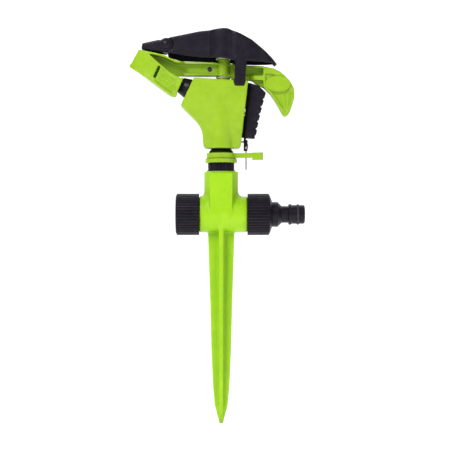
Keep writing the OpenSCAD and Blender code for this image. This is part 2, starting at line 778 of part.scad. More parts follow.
module spoon() {
    near = concat([for (i = [len(spoon_rim) - 1:-1:0]) spoon_rim[i]],
        [for (i = [len(spoon_foot) - 1:-1:0]) spoon_foot[i]], [[-67.2, 80.6]]);
    slant = 25;
    difference() {
        intersection() {
            upright(near, 60);
            over_plan(near_wall_plan);
        }
        // slot through the near wall
        translate([-52.1, 0, 62.6]) rotate([0, slant, 0]) cube([2.1, 60, 11.4], center = true);
        // sunk panel beside the slot
        upright_at([[-49.6, 67.6], [-40.4, 59.8], [-35.8, 57], [-37.3, 46.4], [-40.4, 44.8], [-47.9, 50],
            [-54, 54.6]], -spoon_half - 1, -spoon_half + 1);
    }
    // ridges in the sunk panel
    intersection() {
        upright_at([[-49.6, 67.6], [-40.4, 59.8], [-35.8, 57], [-37.3, 46.4], [-40.4, 44.8], [-47.9, 50],
            [-54, 54.6]], -spoon_half + 0.3, -spoon_half + 1.1);
        union() for (k = [0:4])
            translate([-45.6 + 2*k*sin(30), 0, 53.2 + 2.2*k]) rotate([0, 33, 0])
                cube([18, 60, 0.8], center = true);
    }
    // far wall, foot and the rim that joins them to the arm
    intersection() {
        upright(near, 60);
        over_plan([[-41, spoon_far], [-60, spoon_far], [-60, spoon_far - 1.6], [-41, spoon_far - 1.6]]);
    }
    intersection() {
        upright(band([for (p = spoon_foot) if (p.x < -36) p + [0, 1.7]], 1.7), 60);
        over_plan(arm_plan);
        over_plan([[-80, -20], [-36.6, -20], [-36.6, -8.9], [-45, spoon_far], [-80, spoon_far]]);
    }
    intersection() {
        upright(band(spoon_rim, rim_t), 60);
        over_plan(arm_plan);
    }
}

module beam() {
    web = concat(upper_rim, [for (i = [len(spoon_rim) - 1:-1:0]) spoon_rim[i]],
        [for (i = [len(lower_rim) - 1:-1:0]) lower_rim[i]]);
    intersection() {
        union() {
            upright(band(upper_rim, rim_t), 60);
            upright(band(concat(lower_rim, [spoon_rim[0]]), rim_t), 60);
            upright(web, web_t);
        }
        over_plan(arm_plan);
    }
}

module hook() {
    inner = [[36.4, 61.2], [43, 60], [48, 57.6], [52.6, 53.6], [57.4, 46], [56.6, 38.6], [53.8, 30.6],
             [52.8, 29.4], [48, 36.4], [43.2, 43.6], [38.6, 49.4], [36.4, 51.8]];
    difference() {
        upright(hook_outline, 2*hook_half_w);
        upright_at(inner, -20, -hook_half_w + 1.3);
        upright_at(inner, -hook_half_w + 3.5, 20);
    }
    // ribs in the tail, and the oval seat for the weight
    for (k = [0, 1]) intersection() {
        upright(hook_outline, 2*hook_half_w - 1.4);
        translate([51.6 + 3*k, 0, 39]) rotate([0, -6 + 14*k, 0]) cube([0.9, 30, 22], center = true);
    }
    difference() {
        translate([weight_at.x, 0, weight_at.y]) upright(oval(weight_a, weight_b), 2*hook_half_w);
        translate([weight_at.x, 0, weight_at.y])
            upright_at(oval(weight_a - 1.6, weight_b - 1.6), -hook_half_w - 1, hook_half_w - 2);
    }
}

module hammer_arm() {
    pad_face = leg_in - 0.05;
    color(head_green) in_head() difference() {
        union() {
            difference() {
                union() {
                    beam();
                    spoon();
                }
                swing_clearance();
            }
            translate([arm_x, 0, hub_z]) cylinder(d = hub_d, h = hub_h);
            // pad that strikes the cover's near leg
            translate([13, -pad_face, 60]) cube([5.4, pad_face, 6.6]);
            difference() {
                hook();
                translate([weight_at.x, 0, weight_at.y])
                    upright_at(oval(weight_a - 1.6, weight_b - 1.6), -hook_half_w - 1, hook_half_w - 2);
            }
        }
        translate([arm_x, 0, 50]) cylinder(d = fulcrum_d + 2*run, h = 40);
        // room for the lower washer
        translate([arm_x, 0, 50]) cylinder(r = hub_d/2 + 1.6, h = hub_z - 50);
        y_cylinder([-9.3, 65.1], 2, -20, 20);
    }
}

module weight_slug() {
    color(steel) in_head() translate([weight_at.x, 0, weight_at.y])
        upright_at(oval(weight_a - 1.7, weight_b - 1.7), -hook_half_w + 1.1, hook_half_w - 2.1);
}

module weight_cover() {
    color(head_green) in_head() translate([weight_at.x, 0, weight_at.y]) {
        upright_at(oval(weight_a - 0.2, weight_b - 0.2), -hook_half_w - 0.9, -hook_half_w);
        upright_at(oval(weight_a - 1.75, weight_b - 1.75), -hook_half_w - 0.1, -hook_half_w + 1);
    }
}

// ---------- trip gear ----------

lever_top = 53.6;
tooth_pitch = 6.1;
tooth_count = 6;
tooth_depth = 1.4;
lever_corner = [9.4 + lever_channel, 46.4];
lever_tail = [5.2 + lever_channel, 9.6];

// Outer edge of the lever: a row of teeth from its corner to its tail
function lever_teeth() = [for (i = [0:tooth_count - 1])
    for (k = [[0, 0], [0.62, 0.1], [0.9, 1]])
        let (f = (i + k.x)/tooth_count,
             u = lever_tail.x + (lever_corner.x - lever_tail.x)*pow(1 - f, 1.5))
            [u - tooth_depth*k.y, lever_corner.y + (lever_tail.y - lever_corner.y)*f]];

module trip_lever() {
    side = concat([[-lever_half_t, lever_top], [3 + lever_channel, 51.4]], lever_teeth(),
        [[lever_tail.x - 1.6, 8.4], [-lever_half_t + 1.2, 7.6], [-lever_half_t, 9]]);
    color(black) in_lever() difference() {
        intersection() {
            upright(side, 2*lever_half_t + 2);
            union() {
                cylinder(r = lever_half_t, h = 60);
                translate([0, -lever_half_t, 0]) cube([14, 2*lever_half_t, 60]);
            }
        }
        // hinge bore and the spaces for the body's lugs
        translate([0, 0, -1]) cylinder(r = pin_r + run, h = 62);
        for (span = [upper_lug, lower_lug]) {
            translate([0, 0, span.x - face_gap]) cylinder(r = lug_r + 0.4, h = span.y - span.x + 2*face_gap);
            translate([-10, -lug_pocket_half, span.x - face_gap])
                cube([10, 2*lug_pocket_half, span.y - span.x + 2*face_gap]);
        }
        // pocket for the over-centre spring
        translate([-10, -3.4, 26]) cube([12.6, 6.8, 6]);
        // slot for the trip pin's finger
        in_lever_slot();
    }
}

module in_lever_slot() {
    translate([-5.4, -1.25, 0]) cube([4.7, 2.5, 11.6]);
}

module lever_pin(z0, len) {
    in_lever() translate([0, 0, z0]) cylinder(r = pin_r, h = len);
}

module upper_lever_pin() {
    color(steel) lever_pin(upper_lug.x - 3, 13);
}

module lower_lever_pin() {
    color(steel) lever_pin(lower_lug.x - 3.6, 12);
}

module trip_spring() {
    color(steel) in_lever() translate([-lever_seat + 0.05, 0, 29]) rotate([0, 90, 0])
        coil(1.75, 0.28, lever_seat + 2.4, 6, 12);
}

module trip_pivot() {
    color(steel) in_head() translate([12.2, 0, rock_h]) rotate([0, 90, 0])
        cylinder(r = rock_pin_r, h = 9.6);
}

module trip_pin() {
    x0 = 18.4;
    x1 = 21.5;
    color(black) in_head() difference() {
        union() {
            translate([x0, -2.2, -1.8]) cube([x1 - x0, 4.4, 6.4]);
            translate([x0, 0, rock_h]) rotate([0, 90, 0]) cylinder(r = 1.7, h = x1 - x0);
            translate([x0 + 0.1, -0.75, 6]) cube([1.9, 1.5, 3.2]);
        }
        translate([x0 - 1, 0, rock_h]) rotate([0, 90, 0]) cylinder(r = rock_pin_r + run, h = 10);
        translate([x0 - 1, -fork_half, -3]) cube([x1 - x0 + 2, 2*fork_half, rivet_h + 3 + 2.4]);
        y_cylinder([trip_x, rivet_h], rivet_r + snug, -5, 5);
    }
}

module wire_rivet() {
    color(steel) in_head() {
        y_cylinder([trip_x, rivet_h], rivet_r, -2.6, 2.6);
        for (s = [-1, 1]) y_cylinder([trip_x, rivet_h], 1.1, s > 0 ? 2.22 : -2.7, s > 0 ? 2.7 : -2.22);
    }
}

module trip_wire() {
    eye_r = rivet_r + run + wire_r;
    color(steel) in_head() translate([trip_x, 0, rivet_h]) {
        rotate([90, 0, 0]) rotate_extrude() translate([eye_r, 0]) circle(r = wire_r, $fn = 24);
        translate([0, 0, -wire_len]) cylinder(r = wire_r, h = wire_len - eye_r);
        translate([0, 0, -wire_len]) sphere(r = 0.9, $fn = 24);
    }
}

base_spike();
end_cap();
end_cap_washer();
inlet_adaptor();
inlet_washer();
spigot_o_ring();
bearing_nipple();
nipple_gasket();
lower_stop_ring();
upper_stop_ring();
stem_collar();
bearing_stem();
stem_spring();
spring_washer();
thrust_washer();
seal_washer();
head_body();
nozzle();
nozzle_o_ring();
top_cover();
nose_flap();
flap_pin();
fulcrum_pin();
hammer_arm();
weight_slug();
weight_cover();
arm_spring();
upper_hub_washer();
lower_hub_washer();
trip_lever();
upper_lever_pin();
lower_lever_pin();
trip_spring();
trip_pin();
trip_pivot();
trip_wire();
wire_rivet();
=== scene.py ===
"""Looks of the impact sprinkler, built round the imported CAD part.

Big mouldings are drawn as distance fields and meshed; each stands for its CAD node and rides on the
node's body. All other CAD nodes stay as packed and only get a material.
"""

import json
import math

import bmesh
import bpy
import numpy as np
import openvdb as vdb
from mathutils import Matrix, Vector


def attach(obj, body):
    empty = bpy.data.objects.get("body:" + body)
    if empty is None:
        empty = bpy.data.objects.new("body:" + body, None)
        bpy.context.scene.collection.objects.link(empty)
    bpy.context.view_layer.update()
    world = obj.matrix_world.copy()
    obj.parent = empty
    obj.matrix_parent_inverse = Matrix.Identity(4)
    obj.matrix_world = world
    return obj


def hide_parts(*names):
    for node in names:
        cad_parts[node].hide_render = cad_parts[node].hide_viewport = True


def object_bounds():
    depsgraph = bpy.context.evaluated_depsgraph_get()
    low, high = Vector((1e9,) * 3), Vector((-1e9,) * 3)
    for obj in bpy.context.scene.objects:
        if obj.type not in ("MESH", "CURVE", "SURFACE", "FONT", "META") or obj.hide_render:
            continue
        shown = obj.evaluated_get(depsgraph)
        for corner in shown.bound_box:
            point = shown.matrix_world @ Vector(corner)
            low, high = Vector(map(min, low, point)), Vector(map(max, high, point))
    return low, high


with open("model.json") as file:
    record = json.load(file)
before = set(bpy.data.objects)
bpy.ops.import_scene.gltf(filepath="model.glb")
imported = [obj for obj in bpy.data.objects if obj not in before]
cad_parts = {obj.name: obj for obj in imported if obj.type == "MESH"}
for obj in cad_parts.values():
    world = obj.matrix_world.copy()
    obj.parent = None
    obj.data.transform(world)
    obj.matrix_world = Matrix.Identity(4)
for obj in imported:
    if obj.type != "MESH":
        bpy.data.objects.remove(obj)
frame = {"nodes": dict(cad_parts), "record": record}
CAD_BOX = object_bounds()
NODES = frame["nodes"]
RECORD = frame["record"]
MM = 0.001

# ---------------------------------------------------------------- camera and stage


VIEW_CENTRE = (0.0031, 0.0066)
VIEW_DISTANCE = 1.008
VIEW_LENS = 98.24


def make_camera():
    """Looks along +Y at the object's near side."""
    data = bpy.data.cameras.new("camera")
    data.sensor_width = 36
    data.lens = VIEW_LENS
    data.clip_start = 0.01
    data.clip_end = 20
    camera = bpy.data.objects.new("camera", data)
    camera.location = (VIEW_CENTRE[0], -VIEW_DISTANCE, VIEW_CENTRE[1])
    camera.rotation_euler = (math.radians(90), 0, 0)
    bpy.context.scene.collection.objects.link(camera)
    bpy.context.scene.camera = camera


def area_light(name, place, target, size, power):
    """A white rectangular lamp at place that points at target."""
    data = bpy.data.lights.new(name, "AREA")
    data.shape = "RECTANGLE"
    data.size, data.size_y = size
    data.energy = power
    light = bpy.data.objects.new(name, data)
    light.location = place
    light.rotation_euler = (Vector(target) - Vector(place)).to_track_quat("-Z", "Y").to_euler()
    bpy.context.scene.collection.objects.link(light)


def make_stage():
    """A pale floor at the spike's tip that curves up behind the object."""
    floor_z = CAD_BOX[0].z - 0.0005
    half = 3.0
    back = 2.2
    bend = 0.8
    line = [(-3.0, 0.0), (back - bend, 0.0)]
    line += [(back - bend + bend * math.sin(a), bend - bend * math.cos(a))
             for a in np.linspace(0.1, math.pi / 2, 14)]
    line += [(back, 3.5)]
    verts = [(x, y, floor_z + z) for x in (-half, half) for y, z in line]
    n = len(line)
    faces = [(i, n + i, n + i + 1, i + 1) for i in range(n - 1)]
    mesh = bpy.data.meshes.new("backdrop")
    mesh.from_pydata(verts, [], faces)
    for face in mesh.polygons:
        face.use_smooth = True
    floor = bpy.data.objects.new("backdrop", mesh)
    bpy.context.scene.collection.objects.link(floor)
    material = bpy.data.materials.new("backdrop_white")
    material.use_nodes = True
    shader = material.node_tree.nodes["Principled BSDF"]
    shader.inputs["Base Color"].default_value = (0.45, 0.45, 0.45, 1)
    shader.inputs["Roughness"].default_value = 0.9
    shader.inputs["Specular IOR Level"].default_value = 0.0
    shader.inputs["Emission Color"].default_value = (1, 1, 1, 1)
    shader.inputs["Emission Strength"].default_value = 0.82
    mesh.materials.append(material)


def make_light():
    world = bpy.data.worlds.new("studio")
    world.use_nodes = True
    sky = world.node_tree.nodes["Background"]
    sky.inputs["Color"].default_value = (1, 1, 1, 1)
    sky.inputs["Strength"].default_value = 0.20
    bpy.context.scene.world = world
    bpy.context.scene.view_settings.view_transform = "Standard"
    head = (-0.005, 0, 0.11)
    area_light("key", (-0.42, -0.72, 0.75), head, (0.40, 0.40), 7.5)
    area_light("fill", (0.75, -0.70, 0.15), head, (0.5, 0.9), 1.2)
    area_light("backdrop_light", (0, 1.0, 1.25), (0, 1.15, -0.15), (3.2, 1.6), 14.0)


make_camera()
make_stage()
make_light()

# ---------------------------------------------------------------- materials


class Tree:
    """Adds nodes to a material and joins their sockets."""

    def __init__(self, name):
        self.material = bpy.data.materials.new(name)
        self.material.use_nodes = True
        self.nodes = self.material.node_tree.nodes
        self.links = self.material.node_tree.links
        self.shader = self.nodes["Principled BSDF"]

    def add(self, kind, settings=None, **inputs):
        node = self.nodes.new("ShaderNode" + kind)
        for key, value in (settings or {}).items():
            setattr(node, key, value)
        for key, value in inputs.items():
            socket = node.inputs[key.replace("_", " ")]
            if isinstance(value, bpy.types.NodeSocket):
                self.links.new(value, socket)
            else:
                socket.default_value = value
        return node

    def noise(self, coordinates, scale, detail=3.0, rough=0.55):
        node = self.add("TexNoise", None, Scale=scale, Detail=detail, Roughness=rough)
        self.links.new(coordinates, node.inputs["Vector"])
        return node.outputs["Fac"]

    def spread(self, value, low, high, to_low, to_high):
        node = self.add("MapRange", {"clamp": True})
        self.links.new(value, node.inputs["Value"])
        for key, number in (("From Min", low), ("From Max", high), ("To Min", to_low), ("To Max", to_high)):
            node.inputs[key].default_value = number
        return node.outputs["Result"]

    def math(self, operation, a, b=None):
        node = self.add("Math", {"operation": operation})
        for i, value in enumerate((a, b)):
            if value is None:
                continue
            if isinstance(value, bpy.types.NodeSocket):
                self.links.new(value, node.inputs[i])
            else:
                node.inputs[i].default_value = value
        return node.outputs["Value"]

    def mix(self, factor, a, b):
        node = self.add("Mix", {"data_type": "RGBA"})
        ends = [s for s in node.inputs if s.type == "RGBA"]
        self.links.new(factor, node.inputs["Factor"])
        for socket, value in zip(ends, (a, b)):
            if isinstance(value, bpy.types.NodeSocket):
                self.links.new(value, socket)
            else:
                socket.default_value = (*value, 1)
        return [s for s in node.outputs if s.type == "RGBA"][0]

    def edges(self, radius):
        """0 on flat ground, up to 1 within radius of an edge; and the rounded normal."""
        rounded = self.add("Bevel", {"samples": 4}, Radius=radius).outputs["Normal"]
        true = self.add("NewGeometry").outputs["Normal"]
        dot = self.add("VectorMath", {"operation": "DOT_PRODUCT"})
        self.links.new(rounded, dot.inputs[0])
        self.links.new(true, dot.inputs[1])
        return self.spread(dot.outputs["Value"], 0.995, 0.86, 0, 1), rounded

    def bump(self, height, strength, distance, normal=None):
        node = self.add("Bump", None, Strength=strength, Distance=distance)
        self.links.new(height, node.inputs["Height"])
        if normal is not None:
            self.links.new(normal, node.inputs["Normal"])
        return node.outputs["Normal"]

    def shine(self, **inputs):
        """Sets or links the shader's own sockets."""
        for key, value in inputs.items():
            socket = self.shader.inputs[key.replace("_", " ")]
            if isinstance(value, bpy.types.NodeSocket):
                self.links.new(value, socket)
            else:
                socket.default_value = value


def moulded_plastic(name, base, deep, worn, rough, grain, grain_depth, gloss):
    """Moulded plastic: cloudy colour, fine grain, scuffs, soft and slightly worn edges, painted shade in
    corners.
    """
    t = Tree(name)
    place = t.add("TexCoord").outputs["Object"]
    cloud = t.noise(place, 55, 4)
    flow = t.noise(place, 190, 3, 0.6)
    colour = t.mix(t.spread(cloud, 0.34, 0.66, 0, 1), deep, base)
    colour = t.mix(t.spread(flow, 0.42, 0.72, 0, 0.25), colour, worn)
    edge, rounded = t.edges(0.00045)
    scuff = t.math("MULTIPLY", edge, t.spread(t.noise(place, 420, 4, 0.7), 0.38, 0.66, 0.1, 0.75))
    colour = t.mix(scuff, colour, worn)
    # painted shade: ambient occlusion darkens corners, creases and hollows towards half the deep colour,
    # standing in for the shade that falls there
    corner = t.add("AmbientOcclusion", {"samples": 4}, Distance=0.014).outputs["AO"]
    colour = t.mix(t.spread(corner, 0.15, 0.95, 0.8, 0), colour, [0.5 * c for c in deep])
    smear = t.spread(t.noise(place, 130, 5, 0.65), 0.3, 0.7, rough[0], rough[1])
    fine = t.noise(place, grain, 2, 0.5)
    wave = t.noise(place, 95, 2, 0.4)
    relief = t.bump(wave, 0.10, 0.0006, rounded)
    relief = t.bump(fine, 0.35, grain_depth, relief)
    t.shine(Base_Color=colour, Roughness=smear, Normal=relief, Specular_IOR_Level=gloss)
    return t.material


def drawn_steel(name):
    """Drawn wire: long fine lines and slightly brighter edges."""
    t = Tree(name)
    place = t.add("TexCoord").outputs["Object"]
    stretch = t.add("Mapping", None, Scale=(1, 1, 0.12))
    t.links.new(place, stretch.inputs["Vector"])
    lines = t.noise(stretch.outputs["Vector"], 2600, 3)
    cloud = t.noise(place, 240, 3)
    colour = t.mix(t.spread(cloud, 0.35, 0.65, 0, 1), (0.50, 0.51, 0.53), (0.72, 0.73, 0.75))
    edge, rounded = t.edges(0.0002)
    colour = t.mix(t.spread(edge, 0, 1, 0, 0.5), colour, (0.86, 0.87, 0.88))
    t.shine(Base_Color=colour, Metallic=1.0, Roughness=t.spread(lines, 0.3, 0.7, 0.2, 0.42),
            Normal=t.bump(lines, 0.25, 0.00004, rounded))
    return t.material


def soft_rubber(name):
    """Seal rubber with a faint bloom."""
    t = Tree(name)
    place = t.add("TexCoord").outputs["Object"]
    bloom = t.noise(place, 300, 5, 0.65)
    colour = t.mix(t.spread(bloom, 0.4, 0.7, 0, 1), (0.016, 0.016, 0.018), (0.045, 0.045, 0.048))
    edge, rounded = t.edges(0.0003)
    colour = t.mix(t.spread(edge, 0, 1, 0, 0.5), colour, (0.07, 0.07, 0.075))
    t.shine(Base_Color=colour, Roughness=t.spread(bloom, 0.3, 0.7, 0.5, 0.75),
            Normal=t.bump(t.noise(place, 3800, 2), 0.3, 0.00006, rounded))
    return t.material


def milky_nylon(name):
    """Undyed nylon that lets some light through."""
    t = Tree(name)
    place = t.add("TexCoord").outputs["Object"]
    cloud = t.noise(place, 260, 4)
    colour = t.mix(t.spread(cloud, 0.35, 0.65, 0, 1), (0.66, 0.64, 0.56), (0.80, 0.78, 0.71))
    edge, rounded = t.edges(0.0003)
    colour = t.mix(t.spread(edge, 0, 1, 0, 0.4), colour, (0.88, 0.87, 0.82))
    t.shine(Base_Color=colour, Roughness=t.spread(cloud, 0.3, 0.7, 0.35, 0.5), Subsurface_Weight=0.2,
            Subsurface_Scale=0.001, Normal=t.bump(t.noise(place, 3000, 2), 0.2, 0.00005, rounded))
    return t.material


SLOT_MATERIALS = {
    "base_green": moulded_plastic("base_green", (0.42, 0.76, 0.012), (0.36, 0.70, 0.008),
                                  (0.52, 0.84, 0.05), (0.28, 0.42), 3200, 0.00006, 0.28),
    "head_green": moulded_plastic("head_green", (0.35, 0.58, 0.018), (0.30, 0.52, 0.010),
                                  (0.46, 0.68, 0.07), (0.26, 0.40), 3200, 0.00006, 0.35),
    "black_plastic": moulded_plastic("black_plastic", (0.013, 0.010, 0.019), (0.009, 0.007, 0.014),
                                     (0.038, 0.034, 0.048), (0.30, 0.44), 2600, 0.00009, 0.20),
    "rubber": soft_rubber("rubber"),
    "nylon": milky_nylon("nylon"),
    "steel": drawn_steel("steel"),
}
SLOT_OF = {row["node"]: row["material_slot"] for row in RECORD["subparts"]}


def dress(obj, slot):
    """Gives an object the material of a slot."""
    obj.data.materials.clear()
    obj.data.materials.append(SLOT_MATERIALS[slot])


# ---------------------------------------------------------------- carried-over CAD nodes


def shade_smooth(obj, angle=38):
    """Smooth shading that keeps edges sharper than angle, in degrees."""
    mesh = obj.data
    for face in mesh.polygons:
        face.use_smooth = True
    if "sharp_edge" not in mesh.attributes:
        mesh.attributes.new("sharp_edge", "BOOLEAN", "EDGE")
    work = bmesh.new()
    work.from_mesh(mesh)
    limit = math.radians(angle)
    sharp = [e.calc_face_angle(0) > limit if len(e.link_faces) == 2 else False for e in work.edges]
    work.free()
    mesh.attributes["sharp_edge"].data.foreach_set("value", sharp)


for name, node in NODES.items():
    dress(node, SLOT_OF[name])
    shade_smooth(node)

# ---------------------------------------------------------------- moulded shapes as distance fields

# The green mouldings and the black covers have soft corners and blended joins. Each is drawn as
# a field of signed distances in millimetres, negative inside, and meshed where it crosses zero.


class Field:
    """A block of sample points between two corners."""

    def __init__(self, low, high, step):
        self.low, self.step = low, step
        axes = [np.arange(a, b + step, step, dtype=np.float32) for a, b in zip(low, high)]
        self.x = axes[0][:, None, None]
        self.y = axes[1][None, :, None]
        self.z = axes[2][None, None, :]


def join(a, b, blend):
    """Union with a fillet of about that size."""
    h = np.maximum(blend - np.abs(a - b), 0) / blend
    return np.minimum(a, b) - h * h * blend / 4


def common(a, b, blend):
    """Intersection with a rounded edge."""
    return -join(-a, -b, blend)


def cut(a, b, blend):
    """What is left of a without b, with a rounded edge."""
    return -join(-a, b, blend)


def outline(points, u, v):
    """Signed distance to a closed outline in the plane of u and v."""
    pts = [(float(p[0]), float(p[1])) for p in points]
    square, inside = None, False
    for (ax, ay), (bx, by) in zip(pts, pts[1:] + pts[:1]):
        ex, ey = bx - ax, by - ay
        wx, wy = u - ax, v - ay
        t = np.clip((wx * ex + wy * ey) / (ex * ex + ey * ey + 1e-9), 0, 1)
        d = (wx - ex * t) ** 2 + (wy - ey * t) ** 2
        square = d if square is None else np.minimum(square, d)
        low, high, left = v >= ay, v < by, ex * wy > ey * wx
        inside = inside ^ ((low & high & left) | (~low & ~high & ~left))
    return np.where(inside, -1, 1) * np.sqrt(square)


def slab(flat, across, half, edge=0.5):
    """A flat distance given a thickness, with rounded rims."""
    a, b = flat + edge, np.abs(across) - half + edge
    return np.minimum(np.maximum(a, b), 0) + np.hypot(np.maximum(a, 0), np.maximum(b, 0)) - edge


def bar(radius, along, low, high, edge=0.5, core=0.0):
    """A round bar whose distance from its axis is core."""
    return slab(core - radius, along - (low + high) / 2, (high - low) / 2, edge)


def soften_field(d, passes):
    """Blurs a field by one step each pass, which rounds its sharpest corners."""
    for _ in range(passes):
        for axis in range(3):
            padded = np.concatenate([np.take(d, [0], axis), d, np.take(d, [-1], axis)], axis)
            n = d.shape[axis]
            parts = [np.take(padded, range(k, k + n), axis) for k in range(3)]
            d = 0.25 * parts[0] + 0.5 * parts[1] + 0.25 * parts[2]
    return d


def mesh_field(name, field, d, passes=2):
    """The surface where the field is zero, as an object in metres."""
    size = (field.x.size, field.y.size, field.z.size)
    d = soften_field(np.broadcast_to(d, size).astype(np.float32), passes)
    wide = 4 * field.step
    grid = vdb.FloatGrid(wide)
    grid.copyFromArray(np.ascontiguousarray(np.clip(d, -wide, wide)).astype(np.float32))
    points, quads = grid.convertToQuads(isovalue=0.0)
    points = (np.array(field.low) + points * field.step) * MM
    a, b, c = (points[quads[:, k]] for k in (0, 1, 2))
    volume = np.einsum("ij,ij->i", a, np.cross(b, c)).sum()
    if volume < 0:
        quads = quads[:, ::-1]
    mesh = bpy.data.meshes.new(name)
    mesh.vertices.add(len(points))
    mesh.vertices.foreach_set("co", points.astype(np.float32).ravel())
    mesh.loops.add(quads.size)
    mesh.loops.foreach_set("vertex_index", quads.astype(np.int32).ravel())
    mesh.polygons.add(len(quads))
    mesh.polygons.foreach_set("loop_start", np.arange(0, quads.size, 4, dtype=np.int32))
    mesh.polygons.foreach_set("use_smooth", np.ones(len(quads), bool))
    mesh.update(calc_edges=True)
    mesh.validate()
    obj = bpy.data.objects.new(name, mesh)
    bpy.context.scene.collection.objects.link(obj)
    return obj


def place(obj, body, slot, *nodes):
    """Dresses a piece, rides it on its body and lets it stand for CAD nodes."""
    dress(obj, slot)
    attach(obj, body)
    if nodes:
        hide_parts(*nodes)
    return obj


# ---------------------------------------------------------------- spike and tee

PIPE_Z = 15.3
PIPE_R = 14.75
SOCKET_R = 13.95
SOCKET_TOP = 50.4
SPIKE_LENGTH = 156
PANEL_HALF = 9.3
PANEL_Y = 15.2
CORNER_R = 4
TEE_BORE_R = 9
SOCKET_BORE_R = 10.45
# reach of a fin from the axis at each depth below the ground line
FIN_DEPTH = [-30, 0, 60.1, 97.0, 124.8, 141.0, 150.1, 156.0]
FIN_REACH = [10.8, 10.8, 8.90, 8.00, 6.75, 5.35, 3.00, 0.65]


def spike_and_tee():
    """Four-fin spike, water tee and upright socket in one moulding."""
    f = Field((-32, -17, -157), (35.5, 17, 52), 0.5)
    x, y, z = f.x, f.y, f.z
    round_pipe = np.hypot(y, z - PIPE_Z)
    d = bar(PIPE_R, x, -17.8, 21.4, 1.0, round_pipe)
    socket = bar(SOCKET_R, z, PIPE_Z, SOCKET_TOP, 0.6, np.hypot(x, y))
    d = join(d, socket, 4.5)
    # flat panels with round feet, standing a little proud
    foot = PIPE_Z - 2 + CORNER_R
    side = PANEL_HALF - CORNER_R
    turn = [(CORNER_R * math.cos(a), CORNER_R * math.sin(a)) for a in np.linspace(0, 1.57, 7)]
    panel = [(PANEL_HALF, SOCKET_TOP - 1.3)]
    panel += [(side + c, foot - s) for c, s in turn]
    panel += [(-side - s, foot - c) for c, s in turn]
    panel += [(-PANEL_HALF, SOCKET_TOP - 1.3)]
    d = join(d, slab(outline(panel, x, z), y, PANEL_Y, 0.5), 0.6)
    # threads
    for low, high in ((-30.4, -17), (20, 34)):
        thread = round_pipe + 0.28 * np.abs(((x / 1.8) % 1.0) - 0.5) * 2
        d = np.minimum(d, bar(13.1, x, low, high, 0.5, thread))
    # four fins that narrow to the point
    half_w = np.interp(-z, FIN_DEPTH, FIN_REACH)
    half_t = np.interp(-z, [0, 157], [2.1, 1.6])
    fins = None
    for across, thin in ((x, y), (y, x)):
        a, b = np.abs(across) - half_w + 0.8, np.abs(thin) - half_t + 0.8
        fin = np.minimum(np.maximum(a, b), 0) + np.hypot(np.maximum(a, 0), np.maximum(b, 0)) - 0.8
        fins = fin if fins is None else join(fins, fin, 1.6)
    fins = np.maximum(fins, np.maximum(-SPIKE_LENGTH - z, z - (PIPE_Z - 10)))
    d = join(d, fins, 1.4)
    # bores
    d = np.maximum(d, -(round_pipe - TEE_BORE_R))
    d = np.maximum(d, -bar(SOCKET_BORE_R, z, 28.2, 60, 0.1, np.hypot(x, y)))
    d = np.maximum(d, -bar(7, z, PIPE_Z, 30, 0.1, np.hypot(x, y)))
    place(mesh_field("spike_and_tee", f, d, 1), "base", "base_green", "base_spike")


# ---------------------------------------------------------------- head body

HEAD_Z = 69.1
JET = math.radians(25.9)
LEAN = math.radians(6.22984)
LEVER_FOOT = (20.5752, HEAD_Z + 0.644228)
LEVER_SEAT = 5.9
LEVER_LUGS = ((40, 44.5), (13, 17.5))
LEVER_SPRING_V = 29
ARM_X = 1.8
FULCRUM_BORE_R = 2.02
STEM_BORE_R = 5.62
HEAD_HALF_FOOT = 8.7
HEAD_HALF_TOP = 15
HOUSING_R = 12.7
NOZZLE_BORE_R = 4.62


def turned(x, z, origin, angle):
    """Coordinates across and along a line that leans from the vertical by angle."""
    u, w = x - origin[0], z - origin[1]
    return u * math.cos(angle) - w * math.sin(angle), u * math.sin(angle) + w * math.cos(angle)


def arc(centre, radius, start, end, n):
    return [(centre[0] + radius * math.cos(math.radians(a)), centre[1] + radius * math.sin(math.radians(a)))
            for a in np.linspace(start, end, n)]


def head_outline():
    """The wedge's outline from the side, against the height in the head."""
    pts = arc((-11.7, 3), 3, 270, 180, 7) + arc((-36.5, 8), 21.5, 0, 45, 11)
    return pts + [(-33, 34.9), (-22.2, 57.1), (22, 54.6)] + arc((13.1, 3), 3, 0, -90, 7)


